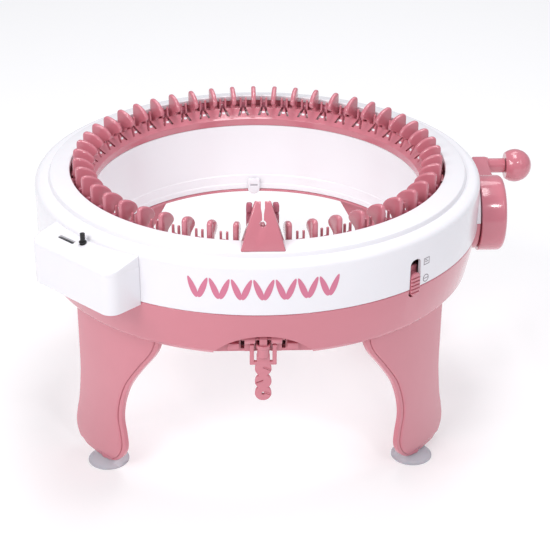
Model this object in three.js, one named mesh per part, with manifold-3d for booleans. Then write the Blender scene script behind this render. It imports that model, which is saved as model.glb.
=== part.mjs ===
// Hand-cranked circular knitting machine with 48 needles, in millimetres, +Z up.
// The front (yarn guide) faces -Y and the crank is on +X. The machine stands on four suction feet
// at z = 0, and the origin is the middle of the whole outline, so the ring's axis is at -CENTRE_X.
import * as THREE from 'three';
import { mergeVertices } from 'three/addons/utils/BufferGeometryUtils.js';
import Module from 'manifold-3d';

const wasm = await Module();
wasm.setup();

// Driving dimensions
const NEEDLES = 48;
const PITCH = 360 / NEEDLES;            // degrees from needle to needle
const GAP = 0.3;                        // between pieces that touch
const RING_SEGMENTS = 48;

const BODY_R = 168;                     // drum, at the parting plane
const PARTING_Z = 164;
const WALL = 2.6;
const FLOOR_Z = 129;                    // underside of the base
const FLOOR_T = 3;
const SKIRT_R = 161.8;                  // base's lower edge
const SKIRT_Z = 132.2;
const OPENING_R = 122.5;                // base's inner lip, set a little below its floor
const LIP_LOW_Z = 127.3;
const LIP_TOP_Z = 129.2;
const LIP_OUT_R = 128.5;

const COVER_LEDGE_Z = 201.4;            // sunken outer ledge of the cover
const COVER_STEP_R = 156.4;             // step from the ledge up to the inner slope
const COVER_STEP_Z = 204.8;
const COVER_INNER_R = 141.4;
const COVER_TOP_Z = 207.3;

const BED_IN_R = 124;                   // needle bed, inside and outside
const BED_OUT_R = 139.2;
const BED_LOW_Z = LIP_TOP_Z + GAP;
const BED_STEP_Z = FLOOR_Z + FLOOR_T + GAP;  // rides on the floor outside the lip
const BED_TOP_Z = 196.4;
const COLLAR_LOW_Z = 187.2;             // lower edge of the fin ring's inner collar
const PLATE_TOP_Z = 200;                // top of the fin ring's rim
const FIN_T = 3.6;
const FIN_TOP_Z = 217.2;
const SLOT_W = 4.6;                     // needle slots
const SLOT_FLOOR_R = 133.4;

const NEEDLE_T = 3.8;
const NEEDLE_IN_R = 134;
const NEEDLE_TOP_Z = 204.6;             // hook of a needle at its low place
const NEEDLE_LIFT = 28;
const NEEDLES_PER_SIDE = 6;             // needles modelled on each side of the front

const TRACK_IN_R = 142.8;               // fixed cam track around the bed
const TRACK_OUT_R = 147.6;
const TRACK_LOW_Z = 157;
const TRACK_TOP_Z = 203.7;

const CROWN_TEETH = 96;
const PINION_TEETH = 8;
const CROWN_IN_R = 143.4;               // inner and outer end of the crown's teeth
const CROWN_OUT_R = 150.2;
const CRANK_Z = 161;
const CROWN_TIP_Z = CRANK_Z - 10.8;
const CROWN_PLATE_Z = CRANK_Z - 17;
const CROWN_LOW_Z = CRANK_Z - 21.4;
const PINION_PITCH_R = (CROWN_IN_R + CROWN_OUT_R) / 2 * PINION_TEETH / CROWN_TEETH;
const PINION_TIP_R = PINION_PITCH_R + 1.5;
const PINION_ROOT_R = PINION_PITCH_R - 2.3;

const SHAFT_R = 4;
const BOSS_R = 27.5;
const BOSS_X = 168.8;
const HUB_R = 29.1;
const HUB_IN_X = 169.4;
const HUB_OUT_X = 188.8;
const ARM_LENGTH = 68.9;
const ARM_RISE = 9;                     // degrees above level, towards the back
const KNOB_R = 13.3;
const KNOB_X = 211.1;
const KNOB_FACE_X = 202.9;

const LEG_ANGLES = [-43, 43, 137, -137];   // degrees from the front, seen from above
const LEG_NAMES = ['front_left', 'front_right', 'rear_right', 'rear_left'];
const LEG_TOP_Z = FLOOR_Z - GAP;
const LEG_LOW_Z = 4;
const LEG_T = 4.5;
const LEG_TOP_OUT = 156;                // outer face of a leg, at its top and at its foot
const LEG_FOOT_OUT = 153;
const LEG_CURVE_R = 230;
const TONGUE = [-155.6, -151.6];
const FOOT_U = -22;                     // foot's centre, across the leg and out from the axis
const FOOT_OUT = 146;
const FOOT_R = 15.5;

const COUNTER_ANGLE = -45;
const COUNTER_SIDES = [-39, 45];
const COUNTER_FACE = 189.5;
const CASE_LOW_Z = 162;
const CASE_TOP_Z = 190.8;
const LID_LOW_Z = CASE_TOP_Z + GAP;
const LID_FRONT_Z = 193.2;              // the lid rises from its front edge to the drum
const LID_RISE = 12.8;                  // degrees
const WHEEL_R = 4.8;
const WHEEL_W = 4.4;
const WHEEL_PITCH = 5;
const WHEEL_X = -14;
const WHEEL_Y = -175.5;
const WHEEL_Z = 186.3;
const RESET_Y = -172.9;

const SELECTOR_ANGLE = 38.9;
const SELECTOR_SLOT_W = 9;
const SELECTOR_SLOT = [157, 186.2];     // lower and upper end of the slot
const SELECTOR_KNOB = [158.5, 175.8];
const SELECTOR_FACE = 169.2;

const SCREW_ANGLES = [22, 70, 110, 158, 202, 338];
const SCREW_R = 156.5;
const POST_R = 4.2;

const PIVOT_Y = -157;                   // tension clip's hinge
const PIVOT_Z = 140.4;
const CLIP_T = 3;

const CENTRE_X = (KNOB_X + KNOB_R - BODY_R) / 2;

// Materials
const PINK = { color: 0xd38b97, roughness: 0.35, metalness: 0 };
const WHITE = { color: 0xf4f2f8, roughness: 0.3, metalness: 0 };
const STEEL = { color: 0xb8babd, roughness: 0.3, metalness: 1 };
const BLACK = { color: 0x1c1c1f, roughness: 0.45, metalness: 0 };
const CUP_GREY = { color: 0xd6d6de, roughness: 0.25, metalness: 0 };
const CLEAR = { color: 0x3a3a40, roughness: 0.1, metalness: 0 };

// Geometry helpers
const rad = THREE.MathUtils.degToRad;

function signedVolume(position, index) {
  const [a, b, c] = [new THREE.Vector3(), new THREE.Vector3(), new THREE.Vector3()];
  let volume = 0;
  for (let i = 0; i < index.length; i += 3) {
    a.fromBufferAttribute(position, index[i]);
    b.fromBufferAttribute(position, index[i + 1]);
    c.fromBufferAttribute(position, index[i + 2]);
    volume += a.dot(b.cross(c)) / 6;
  }
  return volume;
}

// A closed three.js geometry as a manifold solid, with its faces pointing out
function solid(geometry) {
  const bare = geometry.clone();
  bare.deleteAttribute('normal');
  bare.deleteAttribute('uv');
  const merged = mergeVertices(bare, 1e-4);
  const index = [];
  for (let i = 0; i < merged.index.count; i += 3) {
    const [a, b, c] = [0, 1, 2].map((k) => merged.index.getX(i + k));
    if (a !== b && b !== c && c !== a) index.push(a, b, c);
  }
  if (signedVolume(merged.attributes.position, index) < 0) index.reverse();
  const vertProperties = new Float32Array(merged.attributes.position.array);
  const mesh = new wasm.Mesh({ numProp: 3, vertProperties, triVerts: new Uint32Array(index) });
  return new wasm.Manifold(mesh);
}

const join = (...solids) => solids.reduce((whole, next) => whole.add(next));
const cut = (body, ...tools) => tools.reduce((whole, next) => whole.subtract(next), body);

function geometryOf(body) {
  const mesh = body.getMesh();
  const geometry = new THREE.BufferGeometry();
  geometry.setAttribute('position', new THREE.BufferAttribute(mesh.vertProperties, 3));
  geometry.setIndex(new THREE.BufferAttribute(mesh.triVerts, 1));
  geometry.computeVertexNormals();
  return geometry;
}

// Ring about Z from a closed outline of [radius, z] points
function ring(points, segments = RING_SEGMENTS) {
  const outline = [...points, points[0]].map(([r, z]) => new THREE.Vector2(r, z));
  return solid(new THREE.LatheGeometry(outline, segments).rotateX(Math.PI / 2));
}

// Turned piece about Z from [radius, z] points whose two ends lie on the axis
function turned(points, segments = 20) {
  const outline = points.map(([r, z]) => new THREE.Vector2(r, z));
  return solid(new THREE.LatheGeometry(outline, segments).rotateX(Math.PI / 2));
}

const rod = (r, z0, z1, segments = 20) => turned([[0, z0], [r, z0], [r, z1], [0, z1]], segments);

function box([x0, x1], [y0, y1], [z0, z1]) {
  const geometry = new THREE.BoxGeometry(x1 - x0, y1 - y0, z1 - z0);
  return solid(geometry.translate((x0 + x1) / 2, (y0 + y1) / 2, (z0 + z1) / 2));
}

function shapeOf(points) {
  return new THREE.Shape(points.map(([x, y]) => new THREE.Vector2(x, y)));
}

function plate(shape, depth, curveSegments = 6) {
  return new THREE.ExtrudeGeometry(shape, { depth, bevelEnabled: false, curveSegments });
}

// Plate standing in a radial plane: [radius, z] points, thick along Y about y = 0
function radialPlate(points, thickness) {
  return plate(shapeOf(points), thickness).rotateX(Math.PI / 2).translate(0, thickness / 2, 0);
}

// Plate facing the front: [x, z] points, from y0 to y1
function frontPlate(shape, [y0, y1], curveSegments) {
  return solid(plate(shape, y1 - y0, curveSegments).rotateX(Math.PI / 2).translate(0, y1, 0));
}

const turnedAbout = (body, degrees) => body.rotate([0, 0, degrees]);
const alongX = (body) => body.rotate([0, 90, 0]);

// Outer shells
const coverTop = [[163, COVER_LEDGE_Z], [157.5, COVER_LEDGE_Z], [COVER_STEP_R, COVER_STEP_Z],
  [COVER_INNER_R, COVER_TOP_Z]];

function screwPost(z0, z1) {
  return rod(POST_R, z0, z1, 10).translate([SCREW_R, 0, 0]);
}

function screwHole(r, z0, z1) {
  return rod(r, z0, z1, 10).translate([SCREW_R, 0, 0]);
}

function atScrews(body) {
  return join(...SCREW_ANGLES.map((angle) => turnedAbout(body, angle)));
}

function crankBoss() {
  return alongX(rod(BOSS_R, 158, BOSS_X, 32)).translate([0, 0, CRANK_Z]);
}

function crankBore() {
  return alongX(rod(8 + GAP, 150, 180, 20)).translate([0, 0, CRANK_Z]);
}

const half = (z0, z1) => box([-200, 200], [-200, 200], [z0, z1]);

function selectorWindow(z0, z1) {
  const w = SELECTOR_SLOT_W / 2;
  return turnedAbout(box([-w, w], [-176, -158], [z0, z1]), SELECTOR_ANGLE);
}

function makeTopCover() {
  const low = PARTING_Z + GAP / 2;
  const shell = ring([
    [BODY_R - WALL, low], [BODY_R, low], [BODY_R, 195], [167.2, 199], [165.3, 200.9],
    ...coverTop, [COVER_INNER_R, 203], [142.5, 203], [142.5, 204.9], [155.3, 202.7],
    [156.3, 199.2], [162.6, 199], [BODY_R - WALL, 194.6],
  ]);
  const boss = crankBoss().intersect(half(low, 250));
  const posts = atScrews(screwPost(low, 200.3));
  const holes = atScrews(screwHole(1.6, 150, 176));
  return cut(join(shell, boss, posts), crankBore(), holes, selectorWindow(150, SELECTOR_SLOT[1]));
}

// Arched pocket in the front of the skirt, whose back wall carries the clip's hinge lugs
const ARCH_HALF_W = 34;
const ARCH_TOP_Z = 146;
const ARCH_WALL_Y = [-153.6, -151.6];
const LUG_X = [5.4, 12.9];
const LUG_R = 3.6;

function archShape() {
  const rise = ARCH_TOP_Z - 131;
  const radius = (ARCH_HALF_W ** 2 + rise ** 2) / (2 * rise);
  const sweep = Math.asin(ARCH_HALF_W / radius);
  const shape = new THREE.Shape();
  shape.moveTo(-ARCH_HALF_W, 120);
  shape.lineTo(ARCH_HALF_W, 120);
  shape.absarc(0, ARCH_TOP_Z - radius, radius, Math.PI / 2 - sweep, Math.PI / 2 + sweep, false);
  return shape;
}

function hingeLug() {
  const [near, far] = LUG_X;
  const block = box([near, far], [PIVOT_Y, ARCH_WALL_Y[1]], [PIVOT_Z - LUG_R, PIVOT_Z + LUG_R]);
  return join(block, alongX(rod(LUG_R, near, far)).translate([0, PIVOT_Y, PIVOT_Z]));
}

function legSocket() {
  return box([-14 - GAP, 14 + GAP], [TONGUE[0] - GAP, TONGUE[1] + GAP], [120, 141]);
}

function makeBaseShell() {
  const top = PARTING_Z - GAP / 2;
  const floorTop = FLOOR_Z + FLOOR_T;
  const shell = ring([
    [OPENING_R, LIP_LOW_Z], [LIP_OUT_R + 1.5, LIP_LOW_Z], [LIP_OUT_R + 4, FLOOR_Z], [158.6, FLOOR_Z], [160.9, 130], [SKIRT_R, SKIRT_Z], [BODY_R, top],
    [BODY_R - WALL, top], [159.4, 133.2], [158.4, floorTop], [144.2, floorTop],
    [144.2, CROWN_LOW_Z - 0.4], [140.8, CROWN_LOW_Z - 0.4], [140.8, floorTop],
    [LIP_OUT_R, floorTop], [LIP_OUT_R, LIP_TOP_Z], [OPENING_R, LIP_TOP_Z],
  ]);
  const insideSkirt = ring([
    [100, FLOOR_Z], [158.6, FLOOR_Z], [161, SKIRT_Z], [166.6, 163], [100, 163]]);
  const archWalls = box([-37, 37], [-164, ARCH_WALL_Y[1]], [FLOOR_Z, 148.5])
    .intersect(insideSkirt);
  const boss = crankBoss().intersect(half(100, top));
  const posts = atScrews(screwPost(130, top));
  const arch = frontPlate(archShape(), [-176, ARCH_WALL_Y[0]], 12);
  const hinge = join(hingeLug(), hingeLug().mirror([1, 0, 0]));
  const pinHole = alongX(rod(1.5, -20, 20, 12)).translate([0, PIVOT_Y, PIVOT_Z]);
  const knuckleSlot = box([-4.1, 4.1], [-156, -150], [134, 144.6]);
  const recesses = atScrews(screwHole(2.9, 120, 155));
  const holes = atScrews(screwHole(1.6, 154, 170));
  const sockets = join(...LEG_ANGLES.map((angle) => turnedAbout(legSocket(), angle)));
  const pocketed = join(cut(join(shell, archWalls, boss, posts), arch), hinge);
  return cut(pocketed, pinHole, knuckleSlot, crankBore(), recesses, holes, sockets,
    selectorWindow(SELECTOR_SLOT[0], 170));
}

// Fixed cam track: a groove that rises only near the front, where the needles are lifted
function grooveLift(x, y) {
  const degrees = Math.abs(THREE.MathUtils.radToDeg(Math.atan2(x, -y)));
  return NEEDLE_LIFT * THREE.MathUtils.smoothstep(10.5 - degrees, 0, 6);
}

function makeCamTrack() {
  const grooveR = 145.4;
  const [low, high] = [159.5, 167];
  const outline = [[TRACK_IN_R, TRACK_LOW_Z], [TRACK_OUT_R, TRACK_LOW_Z],
    [TRACK_OUT_R, TRACK_TOP_Z], [TRACK_IN_R, TRACK_TOP_Z], [TRACK_IN_R, high], [grooveR, high],
    [grooveR, low], [TRACK_IN_R, low], [TRACK_IN_R, TRACK_LOW_Z]];
  const points = outline.map(([r, z]) => new THREE.Vector2(r, z));
  const geometry = new THREE.LatheGeometry(points, NEEDLES).rotateX(Math.PI / 2);
  const position = geometry.attributes.position;
  for (let i = 0; i < position.count; i++) {
    const z = position.getZ(i);
    const inGroove = z > TRACK_LOW_Z + 1 && z < TRACK_TOP_Z - 1;
    if (inGroove) position.setZ(i, z + grooveLift(position.getX(i), position.getY(i)));
  }
  return cut(solid(geometry), box([138, 152], [-17, 17], [150, 180]));
}

// Rotating cylinder
function atNeedles(body) {
  const copies = [];
  for (let i = 0; i < NEEDLES; i++) copies.push(turnedAbout(body, (i + 0.5) * PITCH));
  return wasm.Manifold.union(copies);
}

function makeNeedleBed() {
  const bed = ring([
    [BED_IN_R - 0.8, BED_LOW_Z], [LIP_OUT_R - GAP, BED_LOW_Z], [LIP_OUT_R - GAP, BED_STEP_Z],
    [BED_OUT_R, BED_STEP_Z], [BED_OUT_R, BED_TOP_Z],
    [131 + GAP, BED_TOP_Z], [131 + GAP, COLLAR_LOW_Z - GAP], [BED_IN_R, COLLAR_LOW_Z - GAP],
    [BED_IN_R, 149.4], [BED_IN_R - 0.8, 148.6],
  ], NEEDLES);
  const slot = box([SLOT_FLOOR_R, 142], [-SLOT_W / 2, SLOT_W / 2], [130, 200]);
  return cut(bed, atNeedles(slot));
}

const FIN_OUTLINE = [[131, BED_TOP_Z + GAP], [139, BED_TOP_Z + GAP], [139, 215.8],
  [137.6, FIN_TOP_Z], [131.4, 215.6], [125.2, 210.2], [122.6, 205], [124, 202.2], [129, 200]];

function makeFinRing() {
  const rimR = SLOT_FLOOR_R - 0.2;
  const plateLow = BED_TOP_Z + GAP;
  const collar = ring([
    [BED_IN_R, COLLAR_LOW_Z], [131, COLLAR_LOW_Z], [131, plateLow], [rimR, plateLow],
    [rimR, PLATE_TOP_Z], [131, PLATE_TOP_Z], [128, 196], [BED_IN_R, 192],
  ], NEEDLES);
  const fin = solid(radialPlate(FIN_OUTLINE, FIN_T));
  const fins = [];
  for (let i = 0; i < NEEDLES; i++) fins.push(turnedAbout(fin, i * PITCH));
  return join(collar, wasm.Manifold.union(fins));
}

function makeCrownGear() {
  const plateRing = ring([[BED_OUT_R + 0.7, CROWN_LOW_Z], [CROWN_OUT_R, CROWN_LOW_Z],
    [CROWN_OUT_R, CROWN_PLATE_Z], [BED_OUT_R + 0.7, CROWN_PLATE_Z]], 60);
  const tooth = solid(plate(shapeOf([[-2.8, CROWN_PLATE_Z - 1], [2.8, CROWN_PLATE_Z - 1],
    [1, CROWN_TIP_Z], [-1, CROWN_TIP_Z]]), CROWN_OUT_R - 0.4 - CROWN_IN_R)
    .rotateX(Math.PI / 2).rotateZ(Math.PI / 2).translate(CROWN_IN_R, 0, 0));
  const teeth = [];
  for (let i = 0; i < CROWN_TEETH; i++) {
    teeth.push(turnedAbout(tooth, (i + 0.5) * 360 / CROWN_TEETH));
  }
  return join(plateRing, wasm.Manifold.union(teeth));
}

function makeYarnTailClip() {
  const shape = new THREE.Shape();
  shape.moveTo(-5, 140);
  shape.lineTo(-5, 132);
  shape.absarc(0, 131, 5, Math.PI, 0, false);
  shape.lineTo(5, 140);
  const blade = frontPlate(shape, [-121.6, -119.4], 8);
  const root = box([-5, 5], [-122.5, -119.4], [136.4, 140]);
  const slit = box([-3.2, 3.2], [-125, -117], [133.6, 135]);
  return turnedAbout(cut(join(blade, root), slit), 180);
}

// Needle at its low place: a flat shank with a butt and an outward hook
function needleGeometry(lift) {
  const top = NEEDLE_TOP_Z;
  const outline = [[NEEDLE_IN_R, 141], [138.2, 141], [138.2, 160], [142.2, 161], [142.2, 165],
    [138.2, 166], [138.2, top - 9.4], [136.4, top - 7.4], [136.4, top - 2.9],
    [137.6, top - 2.9], [137.6, top - 4.8], [139, top - 4.8], [139, top - 1.8],
    [137.6, top], [135.4, top], [NEEDLE_IN_R, top - 1.8]];
  return radialPlate(outline, NEEDLE_T).rotateZ(-Math.PI / 2).translate(0, 0, lift);
}

// Yarn guide: a hollow three-sided tower on the cover, with a thread slot and eye
function makeYarnGuide() {
  const [front, back, topY] = [-157, -141.6, -143];
  const [low, high] = [200, 236];
  const side = shapeOf([[front, low], [back, low], [-140.4, high], [topY, high]]);
  const wedge = solid(plate(side, 40).rotateX(Math.PI / 2).rotateZ(Math.PI / 2)
    .translate(-20, 0, 0));
  const taper = shapeOf([[-16.6, low], [16.6, low], [5.4, high], [-5.4, high]]);
  const outer = wedge.intersect(frontPlate(taper, [-170, -130]));
  const inner = outer.scale([0.82, 1, 1]).translate([0, 2, -2.2]);
  const seat = ring([[120, 190], [165, 190], [165, COVER_LEDGE_Z + GAP],
    [157.5, COVER_LEDGE_Z + GAP], [COVER_STEP_R + GAP, COVER_STEP_Z + GAP],
    [COVER_INNER_R, COVER_TOP_Z + GAP], [120, COVER_TOP_Z + GAP]]);
  const slot = box([-1, 1], [-170, -130], [223, 240]);
  const eye = rod(2.2, -30, 30, 12).rotate([90, 0, 0]).translate([0, -150, 222.5]);
  return cut(outer, inner, seat, slot, eye);
}

// Crank drive
function makeCrankBush() {
  return alongX(ring([[SHAFT_R + 0.4, 154], [8, 154], [8, 167.6], [SHAFT_R + 0.4, 167.6]], 20));
}

function makeCrankShaft() {
  return turned([[0, 143.2], [SHAFT_R, 143.2], [SHAFT_R, 183], [1.8, 183], [1.8, 177.5],
    [0, 177.5]]);
}

function makePinion() {
  const shape = new THREE.Shape();
  for (let i = 0; i < PINION_TEETH; i++) {
    const tooth = [[PINION_ROOT_R, -12.5], [PINION_TIP_R, -4], [PINION_TIP_R, 4],
      [PINION_ROOT_R, 12.5]];
    for (const [r, offset] of tooth) {
      const angle = rad(i * 360 / PINION_TEETH + offset);
      if (i === 0 && offset === -12.5) shape.moveTo(r * Math.cos(angle), r * Math.sin(angle));
      else shape.lineTo(r * Math.cos(angle), r * Math.sin(angle));
    }
  }
  const bore = new THREE.Path();
  bore.absarc(0, 0, SHAFT_R + GAP, 0, 2 * Math.PI, true);
  shape.holes.push(bore);
  return plate(shape, CROWN_OUT_R - CROWN_IN_R - 0.2, 10).translate(0, 0, CROWN_IN_R + 0.1);
}

function makeCrankHandle() {
  const hub = turned([[0, HUB_IN_X], [HUB_R - 1, HUB_IN_X], [HUB_R, HUB_IN_X + 1],
    [HUB_R, HUB_OUT_X - 5], [HUB_R - 1.5, HUB_OUT_X - 1.6], [HUB_R - 5, HUB_OUT_X],
    [0, HUB_OUT_X]], 28);
  const shape = new THREE.Shape();
  shape.absarc(0, 0, 10, Math.PI, 2 * Math.PI, false);
  shape.absarc(0, ARM_LENGTH, 7.4, 0, Math.PI, false);
  const arm = solid(plate(shape, 12, 8).translate(0, 0, 176));
  const neck = rod(5.9, 186, KNOB_FACE_X - 0.4).translate([0, ARM_LENGTH, 0]);
  const pinHole = rod(2.3, 190.5, 210, 12).translate([0, ARM_LENGTH, 0]);
  const bore = rod(SHAFT_R + GAP, 160, 183.3);
  const screwHole = rod(1.8, 180, 188, 12);
  const recess = rod(4.8, 186, 200, 16);
  return cut(join(hub, arm, neck), pinHole, bore, screwHole, recess);
}

// Screw along Z from its tip to the seat of its head, and on to the head's outer face
function makeScrew(shankR, tipZ, seatZ, headR, faceZ) {
  return turned([[0, tipZ], [shankR, tipZ], [shankR, seatZ], [headR, seatZ], [headR, faceZ],
    [0, faceZ]], 10);
}

function makeKnobPin() {
  return turned([[0, 191], [2, 191], [2, 214.6], [3.4, 214.6], [3.4, 217.4], [0, 217.4]], 12);
}

function makeCrankKnob() {
  const points = [[0, KNOB_FACE_X]];
  const start = Math.acos((KNOB_X - KNOB_FACE_X) / KNOB_R);
  for (let i = 0; i <= 7; i++) {
    const angle = start + (Math.PI - start) * i / 7;
    points.push([i === 7 ? 0 : KNOB_R * Math.sin(angle), KNOB_X - KNOB_R * Math.cos(angle)]);
  }
  return cut(turned(points, 18), rod(2.4, 195, 215, 12), rod(3.9, 214, 218.4, 12));
}

// Legs and feet
function edge(points, steps) {
  const vectors = points.map(([u, z]) => new THREE.Vector3(u, z, 0));
  const curve = new THREE.CatmullRomCurve3(vectors, false, 'centripetal');
  return curve.getPoints(steps).map((p) => [p.x, p.y]);
}

const LEG_OUTER_EDGE = [[-41, LEG_TOP_Z], [-42, 104], [-43.6, 75], [-48.4, 49], [-53.4, 34],
  [-56.8, 22], [-55.6, 13], [-49, 6], [-38, LEG_LOW_Z]];
const LEG_INNER_EDGE = [[-22, LEG_LOW_Z], [-13.5, 5.2], [-5.5, 9], [0.8, 15.5], [4.3, 24.5],
  [3.9, 35.5], [2.5, 46], [3.1, 55], [6.2, 67], [13, 82.5], [25, 99.5], [37, 115], [41.6, 124],
  [42.4, LEG_TOP_Z]];
const LEG_RIB_U = [-25, -21];
const LEG_RIB_Z = [17, 112];

// Gently curved and leaning layer that a leg is cut from
function legLayer() {
  const [low, high] = [LEG_LOW_Z - 1, LEG_TOP_Z + 1];
  const footR = LEG_CURVE_R - (LEG_TOP_OUT - LEG_FOOT_OUT);
  const layer = ring([[footR - LEG_T, low], [footR, low], [LEG_CURVE_R, high],
    [LEG_CURVE_R - LEG_T, high]], 96);
  return layer.translate([0, LEG_CURVE_R - LEG_TOP_OUT, 0]);
}

function makeLeg() {
  const outline = shapeOf([...edge(LEG_OUTER_EDGE, 9), ...edge(LEG_INNER_EDGE, 11)]);
  const blade = frontPlate(outline, [-175, -115]).intersect(legLayer());
  const rib = box(LEG_RIB_U, [-150, 4 - FOOT_OUT], LEG_RIB_Z);
  const footBoss = rod(5.8, LEG_LOW_Z, 20, 16).translate([FOOT_U, -FOOT_OUT, 0]);
  const tongue = box([-14, 14], TONGUE, [LEG_TOP_Z - 1, 140]);
  const stemHole = rod(3.8, -5, 17, 16).translate([FOOT_U, -FOOT_OUT, 0]);
  return cut(join(blade, rib, footBoss, tongue), stemHole);
}

function makeSuctionFoot() {
  return turned([[0, 1.6], [6, 1.4], [12, 0.5], [13, 0], [FOOT_R, 0], [FOOT_R, 0.8], [12.5, 2],
    [7, 3.2], [3.4, 3.5], [3.4, 16], [0, 16]], 16);
}

// Row counter, in a frame whose front is its own face
function counterOutline(inset) {
  const [left, right] = [COUNTER_SIDES[0] + inset, COUNTER_SIDES[1] - inset];
  const corner = 9 - inset;
  const face = -COUNTER_FACE + inset;
  const shape = new THREE.Shape();
  shape.moveTo(right, -150);
  shape.lineTo(left, -150);
  shape.absarc(left + corner, face + corner, corner, Math.PI, 1.5 * Math.PI, false);
  shape.absarc(right - corner, face + corner, corner, 1.5 * Math.PI, 2 * Math.PI, false);
  return shape;
}

function counterBlock(inset, drumR, z0, z1) {
  const block = solid(plate(counterOutline(inset), z1 - z0, 5).translate(0, 0, z0));
  return cut(block, rod(drumR, z0 - 1, z1 + 1, 96));
}

function makeCounterCase() {
  const shell = cut(counterBlock(0, BODY_R + 0.4, CASE_LOW_Z, CASE_TOP_Z),
    counterBlock(1.8, BODY_R + 2.2, CASE_LOW_Z + 1.8, CASE_TOP_Z + 2));
  const lug = (x) => box([x, x + 1.8], [WHEEL_Y - 2.2, WHEEL_Y + 2.2], [CASE_LOW_Z + 1, 188.6]);
  const hole = alongX(rod(1.5, -40, 10, 12)).translate([0, WHEEL_Y, WHEEL_Z]);
  return cut(join(shell, lug(-24), lug(-5.8)), hole);
}

function makeCounterLid() {
  const lid = counterBlock(0, BODY_R + 0.4, LID_LOW_Z, 204);
  const above = box([-60, 60], [-5, 60], [0, 30]).rotate([LID_RISE, 0, 0])
    .translate([0, -COUNTER_FACE, LID_FRONT_Z]);
  const pane = box([WHEEL_X - 8, WHEEL_X + 8], [WHEEL_Y - 2.25, WHEEL_Y + 2.25], [180, 200]);
  return cut(lid, above, pane, rod(2.3, 180, 200, 16).translate([0, RESET_Y, 0]));
}

function makeCounterWindow() {
  return box([WHEEL_X - 7.7, WHEEL_X + 7.7], [WHEEL_Y - 1.95, WHEEL_Y + 1.95], [194, 195.6]);
}

function makeCounterWheel(place) {
  const x = WHEEL_X + place * WHEEL_PITCH - WHEEL_W / 2;
  const wheel = ring([[1.5, x], [WHEEL_R, x], [WHEEL_R, x + WHEEL_W], [1.5, x + WHEEL_W]], 20);
  return alongX(wheel).translate([0, WHEEL_Y, WHEEL_Z]);
}

function makeCounterShaft() {
  return alongX(rod(1.15, -23.8, -4.2, 12)).translate([0, WHEEL_Y, WHEEL_Z]);
}

function makeResetPin() {
  const ribs = new THREE.Shape();
  for (let i = 0; i < 20; i++) {
    const r = i % 2 ? 1.75 : 2.1;
    const angle = i * Math.PI / 10;
    if (i === 0) ribs.moveTo(r, 0);
    else ribs.lineTo(r * Math.cos(angle), r * Math.sin(angle));
  }
  const cap = solid(plate(ribs, 6.4).translate(0, 0, 198.4));
  const stem = turned([[0, 187], [1.9, 187], [1.9, 197.9], [2.7, 197.9], [2.7, 198.8],
    [0, 198.8]], 16);
  return join(cap, stem).translate([0, RESET_Y, 0]);
}

// Selector: a ribbed slider with a retaining flange inside the wall
function makeSelector() {
  const [low, high] = SELECTOR_KNOB;
  const body = box([-4.1, 4.1], [-SELECTOR_FACE, -162.5], [low, high]);
  const flange = box([-6.5, 6.5], [-163, -160.4], [low - 3, high + 3]);
  const grooves = [];
  for (let z = low + 3.2; z < high - 2; z += 2.8) {
    grooves.push(box([-5, 5], [-173, 1.2 - SELECTOR_FACE], [z, z + 1.2]));
  }
  return cut(join(body, flange), ...grooves);
}

// Tension clip: a knuckle on a round collar, a column with two side arms, and three lobes
function makeTensionClip() {
  const [front, back] = [PIVOT_Y - CLIP_T / 2, PIVOT_Y + CLIP_T / 2];
  const knuckle = alongX(rod(3, -2.7, 2.7, 16)).translate([0, PIVOT_Y, PIVOT_Z]);
  const neck = box([-2.7, 2.7], [PIVOT_Y - 3, PIVOT_Y + 2.6], [134, PIVOT_Z]);
  const collar = rod(5, 126.8, 136.4).translate([0, PIVOT_Y, 0])
    .intersect(box([-6, 6], [-170, PIVOT_Y + 2.8], [120, 140]));
  const column = box([-4.6, 4.6], [front, back], [114, 130]);
  const foot = box([-9.3, 9.3], [front, back], [120.4, 123]);
  const arm = (x) => box([x, x + 3], [front, back], [120.4, 136]);
  const lobe = (z) => solid(new THREE.CylinderGeometry(5.8, 5.8, CLIP_T, 16)
    .translate(0, PIVOT_Y, z));
  const slit = (z, side) => box([0, 8], [front - 1, back + 1], [-0.5, 0.5])
    .rotate([0, side > 0 ? 24 : 156, 0]).translate([0, 0, z]);
  const eye = rod(1.3, 150, 165, 12).rotate([90, 0, 0]).translate([0, 0, 97.6]);
  const pinHole = alongX(rod(1.5, -20, 20, 12)).translate([0, PIVOT_Y, PIVOT_Z]);
  const body = join(knuckle, neck, collar, column, foot, arm(-9.3), arm(6.3), lobe(117.2),
    lobe(107), lobe(97.6));
  return cut(body, pinHole, slit(118.4, 1), slit(108.2, -1), slit(98.6, 1), eye);
}

function makeClipPin() {
  return alongX(rod(1.2, -14.8, 14.8, 12)).translate([0, PIVOT_Y, PIVOT_Z]);
}

// Assembly
const machine = new THREE.Group();
machine.name = 'knitting_machine';
const axis = new THREE.Group();
axis.position.x = -CENTRE_X;
machine.add(axis);

function addPiece(name, shape, look, parent = axis) {
  const geometry = shape.isBufferGeometry ? shape : geometryOf(shape);
  const mesh = new THREE.Mesh(geometry, new THREE.MeshStandardMaterial(look));
  mesh.name = name;
  parent.add(mesh);
  return mesh;
}

function turnedGroup(degrees) {
  const group = new THREE.Group();
  group.rotation.z = rad(degrees);
  axis.add(group);
  return group;
}

addPiece('top_cover', makeTopCover(), WHITE);
addPiece('base_shell', makeBaseShell(), PINK);
addPiece('cam_track_ring', makeCamTrack(), WHITE);
addPiece('yarn_guide', makeYarnGuide(), PINK);
addPiece('needle_bed', makeNeedleBed(), WHITE);
addPiece('fin_ring', makeFinRing(), PINK);
addPiece('crown_gear', makeCrownGear(), WHITE);
addPiece('yarn_tail_clip', makeYarnTailClip(), WHITE);

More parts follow.
